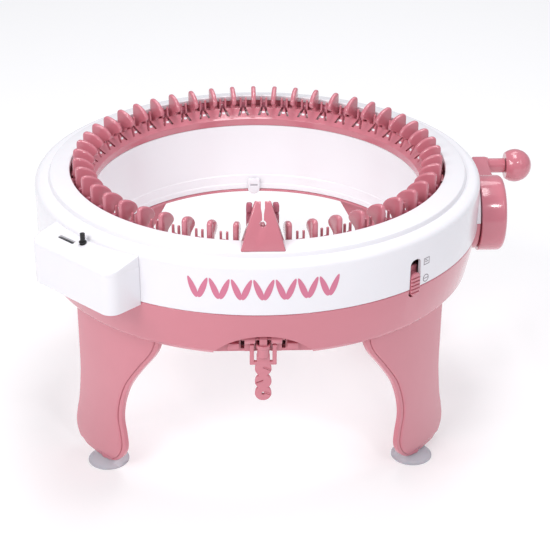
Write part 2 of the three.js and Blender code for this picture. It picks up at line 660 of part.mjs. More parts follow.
for (let i = 0; i < 2 * NEEDLES_PER_SIDE; i++) {
  const angle = (i - NEEDLES_PER_SIDE + 0.5) * PITCH;
  const raised = Math.abs(angle) < PITCH;
  const needle = needleGeometry(raised ? NEEDLE_LIFT : 0);
  addPiece(`needle_${String(i + 1).padStart(2, '0')}`, needle, PINK, turnedGroup(angle));
}

addPiece('crank_bush', makeCrankBush(), BLACK).position.z = CRANK_Z;
const crank = new THREE.Group();
crank.position.z = CRANK_Z;
crank.rotation.y = Math.PI / 2;
axis.add(crank);
addPiece('crank_shaft', makeCrankShaft(), STEEL, crank);
addPiece('drive_pinion', makePinion(), WHITE, crank);
addPiece('hub_screw', makeScrew(1.4, 178.5, 186.3, 4.2, 188.7), STEEL, crank);
const handle = new THREE.Group();
handle.rotation.z = rad(ARM_RISE);
crank.add(handle);
addPiece('crank_handle', makeCrankHandle(), PINK, handle);
const knob = new THREE.Group();
knob.position.y = ARM_LENGTH;
handle.add(knob);
addPiece('knob_pin', makeKnobPin(), STEEL, knob);
addPiece('crank_knob', makeCrankKnob(), PINK, knob);

LEG_ANGLES.forEach((angle, i) => {
  const side = turnedGroup(angle);
  const mirrored = i % 2 === 1;
  const leg = mirrored ? makeLeg().mirror([1, 0, 0]) : makeLeg();
  addPiece(`leg_${LEG_NAMES[i]}`, leg, PINK, side);
  const foot = addPiece(`suction_foot_${LEG_NAMES[i]}`, makeSuctionFoot(), CUP_GREY, side);
  foot.position.set(mirrored ? -FOOT_U : FOOT_U, -FOOT_OUT, 0);
});

const counter = turnedGroup(COUNTER_ANGLE);
addPiece('counter_case', makeCounterCase(), WHITE, counter);
addPiece('counter_lid', makeCounterLid(), WHITE, counter);
addPiece('counter_window', makeCounterWindow(), CLEAR, counter);
addPiece('counter_shaft', makeCounterShaft(), STEEL, counter);
addPiece('counter_wheel_units', makeCounterWheel(1), BLACK, counter);
addPiece('counter_wheel_tens', makeCounterWheel(0), BLACK, counter);
addPiece('counter_wheel_hundreds', makeCounterWheel(-1), BLACK, counter);
addPiece('counter_reset_pin', makeResetPin(), BLACK, counter);

addPiece('selector_knob', makeSelector(), PINK, turnedGroup(SELECTOR_ANGLE));
addPiece('tension_clip', makeTensionClip(), PINK);
addPiece('clip_hinge_pin', makeClipPin(), STEEL);

SCREW_ANGLES.forEach((angle, i) => {
  const screw = makeScrew(1.3, 172, 154.7, 2.6, 152.7).translate([SCREW_R, 0, 0]);
  addPiece(`base_screw_${i + 1}`, screw, STEEL, turnedGroup(angle));
});

export default machine;
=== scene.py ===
"""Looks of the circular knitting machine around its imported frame.

Pieces are modelled in millimetres with the ring's axis at X = Y = 0 and the front facing -Y,
then settled into the frame's metres. Sizes come from the frame's nodes where a node has them.
"""
import math

import bmesh
import bpy
from mathutils import Matrix, Vector


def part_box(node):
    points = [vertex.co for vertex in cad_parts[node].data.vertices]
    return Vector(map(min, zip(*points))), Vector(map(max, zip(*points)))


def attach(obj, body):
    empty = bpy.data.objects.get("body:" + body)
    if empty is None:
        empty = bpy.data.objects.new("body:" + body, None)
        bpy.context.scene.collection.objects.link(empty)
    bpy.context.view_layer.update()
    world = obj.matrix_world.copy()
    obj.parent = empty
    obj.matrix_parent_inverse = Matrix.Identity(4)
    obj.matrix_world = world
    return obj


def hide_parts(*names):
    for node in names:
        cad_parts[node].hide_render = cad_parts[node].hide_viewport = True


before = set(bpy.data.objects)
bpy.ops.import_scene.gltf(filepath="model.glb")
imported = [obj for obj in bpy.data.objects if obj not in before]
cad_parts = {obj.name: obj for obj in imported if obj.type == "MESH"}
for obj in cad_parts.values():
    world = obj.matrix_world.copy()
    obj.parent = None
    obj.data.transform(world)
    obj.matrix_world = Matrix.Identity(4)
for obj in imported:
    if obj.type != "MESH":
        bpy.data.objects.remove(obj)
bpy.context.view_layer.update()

# Sizes from the frame, in millimetres
MM = 0.001


def corners(node):
    """Low and high corner of a node's box."""
    low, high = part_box(node)
    return low / MM, high / MM


def levels(node):
    """Heights of a node's lowest and highest points."""
    low, high = corners(node)
    return low.z, high.z


fins_low, fins_high = corners("fin_ring")
AXIS_X = (fins_low.x + fins_high.x) / 2
COLLAR_LOW_Z, FIN_TOP_Z = fins_low.z, fins_high.z

bed_low, bed_high = corners("needle_bed")
BED_LOW_Z, BED_OUT_R = bed_low.z, bed_high.y

cover_low, cover_high = corners("top_cover")
BODY_R, COVER_TOP_Z = cover_high.y, cover_high.z
BASE_LOW_Z, BASE_TOP_Z = levels("base_shell")
PARTING_Z = (BASE_TOP_Z + cover_low.z) / 2
SEAM = 0.15
SHELL_WALL = 2.6

handle_low = corners("crank_handle")[0]
HUB_IN_X = handle_low.x - AXIS_X
HUB_R = -handle_low.y
CRANK_Z = handle_low.z + HUB_R

knob_low, knob_high = corners("crank_knob")
KNOB_Y = (knob_low.y + knob_high.y) / 2
KNOB_Z = (knob_low.z + knob_high.z) / 2
KNOB_R = (knob_high.z - knob_low.z) / 2
KNOB_FACE_X = knob_low.x - AXIS_X
KNOB_END_X = knob_high.x - AXIS_X

NEEDLES, MOVING_NEEDLES = 48, 12
PITCH = 360 / NEEDLES
NEEDLE_LIFT = 28
NEEDLE_TOP_Z = levels("needle_01")[1]

RIGHT_SIDE_UP = Matrix.Rotation(math.radians(90), 4, "X")
SIDE_ON = Matrix.Rotation(math.radians(90), 4, "Z") @ RIGHT_SIDE_UP
SETTLE = Matrix.Translation((AXIS_X * MM, 0, 0)) @ Matrix.Scale(MM, 4)
SMOOTH_ANGLE = math.radians(34)


def about_axis(degrees):
    return Matrix.Rotation(math.radians(degrees), 4, "Z")


def move(x=0.0, y=0.0, z=0.0):
    return Matrix.Translation((x, y, z))


# Outlines
def rounded(points, steps=5):
    """Closed outline through (x, y, radius) corners, each turned as an arc."""
    outline = []
    for i, (x, y, radius) in enumerate(points):
        corner = Vector((x, y))
        before = Vector(points[i - 1][:2]) - corner
        after = Vector(points[(i + 1) % len(points)][:2]) - corner
        half = before.angle(after) / 2
        if radius <= 0 or half > math.radians(89):
            outline.append((x, y))
            continue
        reach = min(radius / math.tan(half), 0.49 * before.length, 0.49 * after.length)
        to_centre = (before.normalized() + after.normalized()).normalized()
        centre = corner + to_centre * (reach / math.cos(half))
        start = corner + before.normalized() * reach - centre
        end = corner + after.normalized() * reach - centre
        first = math.atan2(start.y, start.x)
        sweep = (math.atan2(end.y, end.x) - first + math.pi) % (2 * math.pi) - math.pi
        for k in range(steps + 1):
            angle = first + sweep * k / steps
            point = centre + start.length * Vector((math.cos(angle), math.sin(angle)))
            outline.append((point.x, point.y))
    return outline


def spline(points, steps):
    """Smooth open curve through the points, with steps between neighbours."""
    ends = [points[0], *points, points[-1]]
    curve = []
    for i in range(1, len(ends) - 2):
        a, b, c, d = (Vector(p) for p in ends[i - 1:i + 3])
        for k in range(steps):
            t = k / steps
            curve.append(tuple(0.5 * (2 * b + (c - a) * t + (2 * a - 5 * b + 4 * c - d) * t * t
                                      + (3 * b - a - 3 * c + d) * t ** 3)))
    curve.append(tuple(points[-1]))
    return curve


def arc(radius, start, end, steps, x=0.0, y=0.0):
    """Points along an arc between two angles in degrees, both ends included."""
    angles = [math.radians(start + (end - start) * i / steps) for i in range(steps + 1)]
    return [(x + radius * math.cos(angle), y + radius * math.sin(angle)) for angle in angles]


def box_outline(left, low, right, high):
    """Closed outline of a plain rectangle."""
    return [(left, low), (right, low), (right, high), (left, high)]


def soft_box(left, low, right, high, low_radius, high_radius, steps=5):
    """Box outline with rounded corners, one radius below and one above."""
    return rounded([(left, low, low_radius), (right, low, low_radius),
                    (right, high, high_radius), (left, high, high_radius)], steps)


# Solids, in millimetres
def piece_from(bm, name="piece"):
    bmesh.ops.recalc_face_normals(bm, faces=bm.faces)
    mesh = bpy.data.meshes.new(name)
    bm.to_mesh(mesh)
    bm.free()
    piece = bpy.data.objects.new(name, mesh)
    bpy.context.scene.collection.objects.link(piece)
    return piece


def moved(piece, matrix):
    piece.data.transform(matrix)
    return piece


def gathered(pieces):
    """One mesh that holds all the pieces as they are."""
    bm = bmesh.new()
    for piece in pieces:
        bm.from_mesh(piece.data)
        bpy.data.objects.remove(piece)
    return piece_from(bm)


def ring(outline, segments=240):
    """Ring about Z from a closed (radius, z) outline."""
    bm = bmesh.new()
    rows = []
    for i in range(segments):
        angle = 2 * math.pi * i / segments
        c, s = math.cos(angle), math.sin(angle)
        rows.append([bm.verts.new((r * c, r * s, z)) for r, z in outline])
    for i in range(segments):
        here, there = rows[i], rows[(i + 1) % segments]
        for j in range(len(outline)):
            k = (j + 1) % len(outline)
            bm.faces.new((here[j], there[j], there[k], here[k]))
    return piece_from(bm)


def turned(outline, segments=48):
    """Solid about Z from an open (radius, z) outline whose two ends lie on the axis."""
    bm = bmesh.new()
    low, high = (bm.verts.new((0, 0, outline[i][1])) for i in (0, -1))
    rows = []
    for i in range(segments):
        angle = 2 * math.pi * i / segments
        c, s = math.cos(angle), math.sin(angle)
        rows.append([bm.verts.new((r * c, r * s, z)) for r, z in outline[1:-1]])
    for i in range(segments):
        here, there = rows[i], rows[(i + 1) % segments]
        bm.faces.new((low, there[0], here[0]))
        bm.faces.new((high, here[-1], there[-1]))
        for j in range(len(here) - 1):
            bm.faces.new((here[j], there[j], there[j + 1], here[j + 1]))
    return piece_from(bm)


def half_outline(points, steps=5):
    """Turned outline: the two ends are (0, z), the corners between them are (r, z, radius)."""
    (_, start), *between, (_, end) = points
    mirrored = [(-r, z, radius) for r, z, radius in reversed(between)]
    full = rounded([*between, *mirrored], steps)
    right = [p for p in full if p[0] > 1e-6]
    return [(0, start), *right, (0, end)]


def prism(outline, low, high, bevel=0.4, steps=2):
    """Plate along Z from an (x, y) outline, with the edges of its faces rounded."""
    bm = bmesh.new()
    face = bm.faces.new([bm.verts.new((x, y, low)) for x, y in outline])
    grown = bmesh.ops.extrude_face_region(bm, geom=[face])
    top = [v for v in grown["geom"] if isinstance(v, bmesh.types.BMVert)]
    bmesh.ops.translate(bm, verts=top, vec=(0, 0, high - low))
    bmesh.ops.recalc_face_normals(bm, faces=bm.faces)
    if bevel > 0:
        sharp = [e for e in bm.edges if e.calc_face_angle(0) > SMOOTH_ANGLE]
        bmesh.ops.bevel(bm, geom=sharp, offset=bevel, segments=steps, profile=0.5,
                        affect="EDGES", clamp_overlap=True)
    return piece_from(bm)


def block(low, high, bevel=0.4):
    return prism(box_outline(low[0], low[1], high[0], high[1]), low[2], high[2], bevel)


def rod(radius, low, high, segments=32, bevel=0.3):
    return turned(half_outline([(0, low), (radius, low, bevel), (radius, high, bevel),
                                (0, high)], 3), segments)


def front_plate(outline, near, far, bevel=0.4, steps=2):
    """Plate facing the front from an (x, z) outline, from y = near back to y = far."""
    return moved(prism(outline, -far, -near, bevel, steps), RIGHT_SIDE_UP)


def along_x(piece):
    return moved(piece, Matrix.Rotation(math.radians(90), 4, "Y"))


def copies(source, matrices):
    """One mesh that holds a copy of the source under each matrix."""
    bm = bmesh.new()
    for matrix in matrices:
        part = source.data.copy()
        part.transform(matrix)
        bm.from_mesh(part)
        bpy.data.meshes.remove(part)
    bpy.data.objects.remove(source)
    return piece_from(bm)


def applied(piece):
    """The piece with its modifiers applied."""
    bpy.context.view_layer.update()
    shown = piece.evaluated_get(bpy.context.evaluated_depsgraph_get())
    mesh = bpy.data.meshes.new_from_object(shown)
    piece.modifiers.clear()
    piece.data = mesh
    return piece


def combined(piece, tool, operation):
    modifier = piece.modifiers.new("combine", "BOOLEAN")
    modifier.object = tool
    modifier.operation = operation
    modifier.solver = "MANIFOLD"
    applied(piece)
    bpy.data.objects.remove(tool)
    return piece


def cut(piece, *tools):
    for tool in tools:
        combined(piece, tool, "DIFFERENCE")
    return piece


def join(piece, *others):
    for other in others:
        combined(piece, other, "UNION")
    return piece


def meet(piece, tool):
    return combined(piece, tool, "INTERSECT")


def eased(piece, width=0.4, angle=40, steps=2):
    """Rounds the sharp edges that a cut left."""
    modifier = piece.modifiers.new("ease", "BEVEL")
    modifier.width = width
    modifier.segments = steps
    modifier.limit_method = "ANGLE"
    modifier.angle_limit = math.radians(angle)
    modifier.use_clamp_overlap = True
    return applied(piece)


# Materials
def node_of(material, kind, **settings):
    node = material.node_tree.nodes.new(kind)
    for name, value in settings.items():
        node.inputs[name].default_value = value
    return node


def moulded(name, color, roughness, sheen_spread=0.05, tint=0.05, grain=0.03, coat=0.0,
            subsurface=0.0, ior=1.49):
    """Moulded plastic: faint flow mottling, uneven gloss and a fine mould grain."""
    material = bpy.data.materials.new(name)
    material.use_nodes = True
    tree = material.node_tree
    shader = tree.nodes["Principled BSDF"]
    shader.inputs["IOR"].default_value = ior
    shader.inputs["Coat Weight"].default_value = coat
    shader.inputs["Coat Roughness"].default_value = 0.08
    shader.inputs["Subsurface Weight"].default_value = subsurface
    shader.inputs["Subsurface Radius"].default_value = (0.004, 0.002, 0.002)
    place = tree.nodes.new("ShaderNodeTexCoord")
    flow = node_of(material, "ShaderNodeTexNoise", Scale=18.0, Detail=4.0, Roughness=0.55)
    mix = node_of(material, "ShaderNodeMix")
    mix.data_type = "RGBA"
    mix.inputs["A"].default_value = (*[c * (1 - tint) for c in color], 1)
    mix.inputs["B"].default_value = (*[min(1, c * (1 + tint)) for c in color], 1)
    gloss = node_of(material, "ShaderNodeTexNoise", Scale=42.0, Detail=5.0, Roughness=0.6)
    spread = node_of(material, "ShaderNodeMapRange")
    spread.inputs["To Min"].default_value = roughness - sheen_spread
    spread.inputs["To Max"].default_value = roughness + sheen_spread
    pores = node_of(material, "ShaderNodeTexNoise", Scale=1400.0, Detail=2.0)
    bump = node_of(material, "ShaderNodeBump", Strength=grain, Distance=0.0002)
    for noise in (flow, gloss, pores):
        tree.links.new(place.outputs["Object"], noise.inputs["Vector"])
    tree.links.new(flow.outputs["Fac"], mix.inputs["Factor"])
    tree.links.new(mix.outputs["Result"], shader.inputs["Base Color"])
    tree.links.new(gloss.outputs["Fac"], spread.inputs["Value"])
    tree.links.new(spread.outputs["Result"], shader.inputs["Roughness"])
    tree.links.new(pores.outputs["Fac"], bump.inputs["Height"])
    tree.links.new(bump.outputs["Normal"], shader.inputs["Normal"])
    return material


def metal(name, color, roughness):
    material = moulded(name, color, roughness, tint=0.08, grain=0.06)
    material.node_tree.nodes["Principled BSDF"].inputs["Metallic"].default_value = 1.0
    return material


def vinyl(name, color):
    """Soft translucent suction-cup vinyl with faint swirls."""
    material = moulded(name, color, 0.22, tint=0.04, grain=0.02, subsurface=0.2, ior=1.45)
    shader = material.node_tree.nodes["Principled BSDF"]
    shader.inputs["Transmission Weight"].default_value = 0.55
    return material


PINK = moulded("pink_plastic", (0.62, 0.2, 0.25), 0.17, sheen_spread=0.04, subsurface=0.03,
               coat=0.6)
# Needles: the pink plastic darkened, painted shade for the dark gaps between the fins
NEEDLE_SHADED_PINK = moulded("needle_pink_painted_shade", (0.42, 0.11, 0.16), 0.18)
WHITE = moulded("white_plastic", (0.87, 0.856, 0.897), 0.2, tint=0.012, subsurface=0.03)
# Bed: a lighter copy of the white plastic, painted light for the ring's inside, which the lamps
# reach only faintly
BED_WHITE_PAINTED_LIGHT = moulded("bed_white_painted_light", (0.93, 0.92, 0.955), 0.22, tint=0.012)
NYLON = moulded("natural_nylon", (0.78, 0.76, 0.70), 0.5, tint=0.03)
BLACK = moulded("black_plastic", (0.012, 0.012, 0.014), 0.38, tint=0.2)
WINDOW = moulded("dark_window", (0.008, 0.008, 0.011), 0.12, tint=0.2, grain=0.0, coat=0.4)
CUP = vinyl("suction_vinyl", (0.80, 0.80, 0.86))
STEEL = metal("zinc_steel", (0.62, 0.62, 0.64), 0.32)
PRINT_PINK = moulded("print_pink", (0.66, 0.19, 0.30), 0.42, grain=0.0)
PRINT_GREY = moulded("print_grey", (0.30, 0.27, 0.30), 0.45, grain=0.0)


def settle(piece, name, material, body, replaces=(), turn=0.0):
    """Puts a piece modelled in millimetres into the frame, on its body."""
    piece.name = name
    piece.data.name = name
    piece.data.transform(SETTLE @ about_axis(turn))
    piece.data.materials.clear()
    piece.data.materials.append(material)
    piece.data.shade_smooth()
    piece.data.set_sharp_from_angle(angle=SMOOTH_ANGLE)
    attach(piece, body)
    if replaces:
        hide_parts(*replaces)
    return piece


# Camera, light and floor
def add_camera():
    """Fitted view of the front, a little to the left of it and 27 degrees above level."""
    distance, elevation, azimuth = 1129.1, math.radians(27.04), math.radians(1.45)
    target = Vector((0, 0, 108.9))
    level = distance * math.cos(elevation)
    place = target + Vector((-level * math.sin(azimuth), -level * math.cos(azimuth),
                             distance * math.sin(elevation)))
    camera = bpy.data.objects.new("camera", bpy.data.cameras.new("camera"))
    bpy.context.scene.collection.objects.link(camera)
    camera.data.lens = 93.72
    camera.data.sensor_width = 36
    camera.data.shift_x = 0.032
    camera.data.clip_start = 0.01
    camera.location = SETTLE @ place
    camera.rotation_euler = (target - place).to_track_quat("-Z", "Y").to_euler()
    bpy.context.scene.camera = camera


def add_area_light(name, place, size, power, color=(1, 1, 1), aim=(0, 0, 0.12)):
    light = bpy.data.objects.new(name, bpy.data.lights.new(name, "AREA"))
    light.data.shape = "RECTANGLE"
    light.data.size, light.data.size_y = size
    light.data.energy = power
    light.data.color = color
    light.location = place
    light.rotation_euler = (Vector(aim) - Vector(place)).to_track_quat("-Z", "Y").to_euler()
    bpy.context.scene.collection.objects.link(light)


def add_studio():
    world = bpy.data.worlds.new("studio")
    bpy.context.scene.world = world
    world.use_nodes = True
    world.node_tree.nodes["Background"].inputs["Color"].default_value = (0.94, 0.95, 1.0, 1)
    world.node_tree.nodes["Background"].inputs["Strength"].default_value = 0.4
    add_area_light("key", (-1.0, -1.3, 1.3), (0.8, 0.7), 14, (1, 0.985, 0.97))
    add_area_light("fill", (1.3, -1.0, 1.3), (0.5, 0.9), 2.6, (0.97, 0.97, 1))
    add_area_light("top", (0.1, 0.0, 1.6), (0.7, 0.5), 7.5)
    add_area_light("backdrop", (0.2, 1.2, 2.1), (1.6, 0.8), 11, aim=(0, 1.4, 0))
    add_area_light("spark_left", (-1.15, -0.7, 1.5), (0.16, 0.16), 2.6)
    add_area_light("spark_right", (0.58, -1.36, 1.5), (0.22, 0.18), 4)
    bm = bmesh.new()
    bmesh.ops.create_grid(bm, x_segments=1, y_segments=1, size=6)
    floor = piece_from(bm, "floor")
    paper = moulded("paper_floor", (0.7, 0.697, 0.71), 0.75, tint=0.004, grain=0.01)
    glow = paper.node_tree.nodes["Principled BSDF"].inputs
    glow["Emission Color"].default_value = (1, 1, 1, 1)
    glow["Emission Strength"].default_value = 0.34
    floor.data.materials.append(paper)
    floor.location.z = -0.0002
    bpy.context.scene.view_settings.view_transform = "Standard"


# Housing
BOSS_R, BOSS_IN_X, BOSS_X = 27.5, 158, 168.8
BORE_R = 8.3


def crank_boss():
    return moved(along_x(rod(BOSS_R, BOSS_IN_X, BOSS_X, 96, 1.4)), move(z=CRANK_Z))


def crank_bore():
    return moved(along_x(rod(BORE_R, 150, 180, 32)), move(z=CRANK_Z))


SLIDER_ANGLE = 38.9
SLOT_W, SLOT_CORNER_R = 10.2, 4.2
SLOT_LOW_Z, SLOT_HIGH_Z = 157, 186.2


def slider_window():
    """Tool for the upright slot that the selector slides in."""
    outline = soft_box(-SLOT_W / 2, SLOT_LOW_Z, SLOT_W / 2, SLOT_HIGH_Z, SLOT_CORNER_R,
                       SLOT_CORNER_R, 6)
    return moved(front_plate(outline, -180, -158, 0), about_axis(SLIDER_ANGLE))


LEDGE_Z = COVER_TOP_Z - 5.9
BAND_OUT_R, BAND_IN_R = 156.2, 141.4


def add_cover():
    """Drum wall, sunken outer ledge and the sloping band round the fins."""
    low = PARTING_Z + SEAM
    shell = ring(rounded([
        (BODY_R - SHELL_WALL, low, 0.3), (BODY_R, low, 0.5), (BODY_R, LEDGE_Z, 4.8),
        (BAND_OUT_R + 1.2, LEDGE_Z, 0.7), (BAND_OUT_R, COVER_TOP_Z - 2.5, 1.0),
        (BAND_IN_R, COVER_TOP_Z, 0.9), (BAND_IN_R, 203, 0.4), (BAND_IN_R + 1.2, 203, 0.2),
        (BAND_IN_R + 1.4, 204.8, 0.3), (BAND_OUT_R - 1, 202.5, 0.3), (BAND_OUT_R, 199.1, 0.3),
        (163, 199, 2), (BODY_R - SHELL_WALL, 195, 1)]), 288)
    boss = cut(crank_boss(), block((100, -60, 60), (200, 60, low), 0))
    cut(join(shell, boss), crank_bore(), slider_window())
    settle(eased(shell, 0.35), "cover_shell", WHITE, "housing", ["top_cover"])


ARCH_HALF_W, ARCH_SPRING_Z, ARCH_TOP_Z = 34, 131, 146


def arch_outline():
    """Arched opening of the pocket that the tension clip hangs in."""
    rise = ARCH_TOP_Z - ARCH_SPRING_Z
    radius = (ARCH_HALF_W ** 2 + rise ** 2) / (2 * rise)
    sweep = math.degrees(math.asin(ARCH_HALF_W / radius))
    crown = arc(radius, 90 - sweep, 90 + sweep, 32, y=ARCH_TOP_Z - radius)
    return [(-ARCH_HALF_W, 120), (ARCH_HALF_W, 120), *crown]


def mirrored_blocks(low, high, bevel=0.4):
    """The same block on the right and on the left."""
    right = block(low, high, bevel)
    left = block((-high[0], low[1], low[2]), (-low[0], high[1], high[2]), bevel)
    return right, left


PIVOT_Y, PIVOT_Z, CLIP_T = -157, 140.4, 3
POCKET_BACK_Y = -152.4
LUG_R, LUG_IN_X, LUG_OUT_X = 3.6, 5.4, 12.9


def hinge_lug(side):
    """Rounded lug that holds one side of the clip's hinge pin."""
    nose = arc(LUG_R, -90, -270, 16, PIVOT_Y, PIVOT_Z)
    outline = [(POCKET_BACK_Y, PIVOT_Z + LUG_R), (POCKET_BACK_Y, PIVOT_Z - LUG_R), *nose]
    lug = moved(prism(outline, LUG_IN_X, LUG_OUT_X, 0.35), SIDE_ON)
    return lug if side > 0 else moved(lug, move(x=-LUG_IN_X - LUG_OUT_X))


OPENING_R, LIP_R = 122.5, 128.5
FLOOR_LOW_Z, FLOOR_TOP_Z, FLOOR_R = 129, 132, 159.4


def pocket_walls():
    """Thick walls behind the arch, kept inside the skirt."""
    inside = ring([(100, 129.6), (158.6, 129.6), (161, 132.4), (166.6, 163), (100, 163)], 144)
    return meet(block((-37, -166, FLOOR_LOW_Z), (37, -151.6, 148.5), 0), inside)


def pocket_fittings():
    """Pads, cheeks and lugs that stand in the pocket beside the clip."""
    pads = mirrored_blocks((16.4, -156.8, 131.8), (24.4, POCKET_BACK_Y, 136.4))
    cheeks = mirrored_blocks((5.2, -155, 129.4), (LUG_OUT_X, POCKET_BACK_Y, 138))
    return [*pads, *cheeks, hinge_lug(1), hinge_lug(-1)]


def pocket_slots():
    """Notches beside the lugs and the slot that the clip's knuckle turns in."""
    notches = mirrored_blocks((LUG_OUT_X, -154.6, 131), (15.4, -150, 143.4), 0)
    return [*notches, block((-4.1, -156, 134), (4.1, -150, 144.6), 0)]


SCREW_ANGLES, SCREW_R, SCREW_RECESS_R = (22, 70, 110, 158, 202, 338), 156.5, 2.9


def screw_recesses():
    hole = moved(rod(SCREW_RECESS_R, 120, 150, 24), move(x=SCREW_R))
    return copies(hole, [about_axis(angle) for angle in SCREW_ANGLES])


def add_base():
    """Tapered skirt, floor, lip round the opening and the clip's pocket."""
    top = PARTING_Z - SEAM
    shell = ring(rounded([
        (OPENING_R, BASE_LOW_Z, 0.6), (130, BASE_LOW_Z, 0.6), (132.5, FLOOR_LOW_Z, 0.8),
        (FLOOR_R, FLOOR_LOW_Z, 1.4), (161.8, 132.2, 1.6), (BODY_R, top, 0.5),
        (BODY_R - SHELL_WALL, top, 0.3), (FLOOR_R, 133.2, 0.8), (158.2, FLOOR_TOP_Z, 0.4),
        (LIP_R, FLOOR_TOP_Z, 0.3), (LIP_R, 129.2, 0.3), (OPENING_R, 129.2, 0.6)]), 288)
    walls = pocket_walls()
    boss = cut(crank_boss(), block((100, -60, top), (200, 60, 240), 0))
    join(shell, walls, boss)
    cut(shell, front_plate(arch_outline(), -176, -153.6, 0))
    join(shell, *pocket_fittings())
    cut(shell, *pocket_slots(), crank_bore(), slider_window(), screw_recesses())
    groove = ring([(139.4, 128), (140.6, 128), (140.6, 129.8), (139.4, 129.8)], 144)
    cut(shell, groove)
    settle(eased(shell, 0.3), "base_skirt", PINK, "housing", ["base_shell"])


STITCHES, STITCH_STEP, MOTIF_Z = 7, 14.8, 183.4
LEAF_HALF_L, LEAF_HALF_W, LEAF_LEAN, LEAF_OFFSET = 8.2, 2.1, math.radians(68), 3.6


def stitch_leaf(side):
    """One leg of a printed knit stitch, as a slanted leaf."""
    outline = []
    for i in range(24):
        t = 2 * math.pi * i / 24
        along = LEAF_HALF_L * math.cos(t)
        across_leaf = LEAF_HALF_W * math.sin(t) * (1 - 0.25 * math.cos(t))
        x = along * math.cos(LEAF_LEAN) - across_leaf * math.sin(LEAF_LEAN)
        z = along * math.sin(LEAF_LEAN) + across_leaf * math.cos(LEAF_LEAN)
        outline.append((side * (x + LEAF_OFFSET), z))
    return outline


def wrapped(outline, radius, thickness):
    """Thin inlay bent round the drum, centred on the front."""
    bm = bmesh.new()
    plate = bm.faces.new([bm.verts.new((x, 0, z)) for x, z in outline])
    grown = bmesh.ops.extrude_face_region(bm, geom=[plate])
    outer = {v for v in grown["geom"] if isinstance(v, bmesh.types.BMVert)}
    for v in bm.verts:
        r = radius + (thickness if v in outer else -thickness)
        angle = v.co.x / radius
        v.co = Vector((r * math.sin(angle), -r * math.cos(angle), v.co.z))
    return piece_from(bm)


def add_printed_motif():
    """A generic row of knit stitches printed on the front of the drum."""
    leaves = []
    for i in range(STITCHES):
        degrees = math.degrees((i - (STITCHES - 1) / 2) * STITCH_STEP / BODY_R)
        for side in (1, -1):
            leaf = moved(wrapped(stitch_leaf(side), BODY_R, 0.12), move(z=MOTIF_Z))
            leaves.append(moved(leaf, about_axis(degrees)))
    settle(gathered(leaves), "stitch_motif", PRINT_PINK, "housing")


def frame_bars(x, z, w, h, line):
    """The four thin bars of a hollow rectangle, as outlines."""
    return [box_outline(x - w, z - h, x + w, z - h + line),
            box_outline(x - w, z + h - line, x + w, z + h),
            box_outline(x - w, z - h + line, x - w + line, z + h - line),
            box_outline(x + w - line, z - h + line, x + w, z + h - line)]


FLAT_SIGN_Z, TUBE_SIGN_Z, SIGN_HALF_W = 181.6, 168.4, 2.9


def add_pictograms():
    """Flat work above, as a framed stitch, and tube work below, as a ring with a bar."""
    bars = frame_bars(0, FLAT_SIGN_Z, SIGN_HALF_W, 2.6, 0.55)
    bars.append(box_outline(-1.5, FLAT_SIGN_Z - 0.6, 1.5, FLAT_SIGN_Z))
    bars.append(box_outline(-1.5, FLAT_SIGN_Z + 0.8, 0.4, FLAT_SIGN_Z + 1.4))
    bars.append(box_outline(-SIGN_HALF_W, TUBE_SIGN_Z - 0.28, SIGN_HALF_W, TUBE_SIGN_Z + 0.28))
    signs = [wrapped(bar, BODY_R, 0.1) for bar in bars]
    loop = ring(box_outline(2.35, -0.1, 2.95, 0.1), 40)
    signs.append(moved(loop, move(y=-BODY_R, z=TUBE_SIGN_Z) @ RIGHT_SIDE_UP))
    beside = math.degrees(11 / BODY_R)
    settle(gathered(signs), "selector_signs", PRINT_GREY, "housing", turn=SLIDER_ANGLE + beside)


def add_yarn_guide():
    """Hollow tower that leans over the needles, with a slot and an eye for the yarn."""
    front, back, low, high = -157.2, -141.9, 199, levels("yarn_guide")[1]
    side = [(front, low), (back, low), (-140.4, high), (-143, high)]
    wedge = moved(prism(side, -20, 20, 0), SIDE_ON)
    taper = [(-17.0, low), (17.0, low), (5.4, high), (-5.4, high)]
    outer = eased(meet(wedge, front_plate(taper, -170, -130, 0)), 0.9, 40, 3)
    inner_side = [(front + 2.3, low - 2), (back + 6, low - 2), (-134, high + 3), (-141, high + 3)]
    hollow = moved(prism(inner_side, -20, 20, 0), SIDE_ON)
    inner_taper = [(-15.2, low - 2), (15.2, low - 2), (3.2, high + 3), (-3.2, high + 3)]
    meet(hollow, front_plate(inner_taper, -170, -130, 0))
    cover = ring([(120, 190), (165, 190), (165, COVER_TOP_Z - 5.6), (157.7, COVER_TOP_Z - 5.6),
                  (156.5, COVER_TOP_Z - 2.2), (141.4, COVER_TOP_Z + 0.3),
                  (120, COVER_TOP_Z + 0.3)], 288)
    cut(outer, hollow, cover)
    slot = [(-0.5, 222), (0.5, 222), (0.6, 228), (1.3, 232), (1.3, 242), (-1.3, 242),
            (-1.3, 232), (-0.6, 228)]
    eye = moved(rod(2.2, -20, 20, 32), move(y=-150, z=222.3) @ RIGHT_SIDE_UP)
    cut(outer, front_plate(slot, -170, -130, 0), eye)
    settle(eased(outer, 0.25), "yarn_guide_tower", PINK, "housing", ["yarn_guide"])


# Rotating cylinder
def half_steps():
    """A turn for the middle of each gap between two fins, where a needle stands."""
    return [about_axis((i + 0.5) * PITCH) for i in range(NEEDLES)]


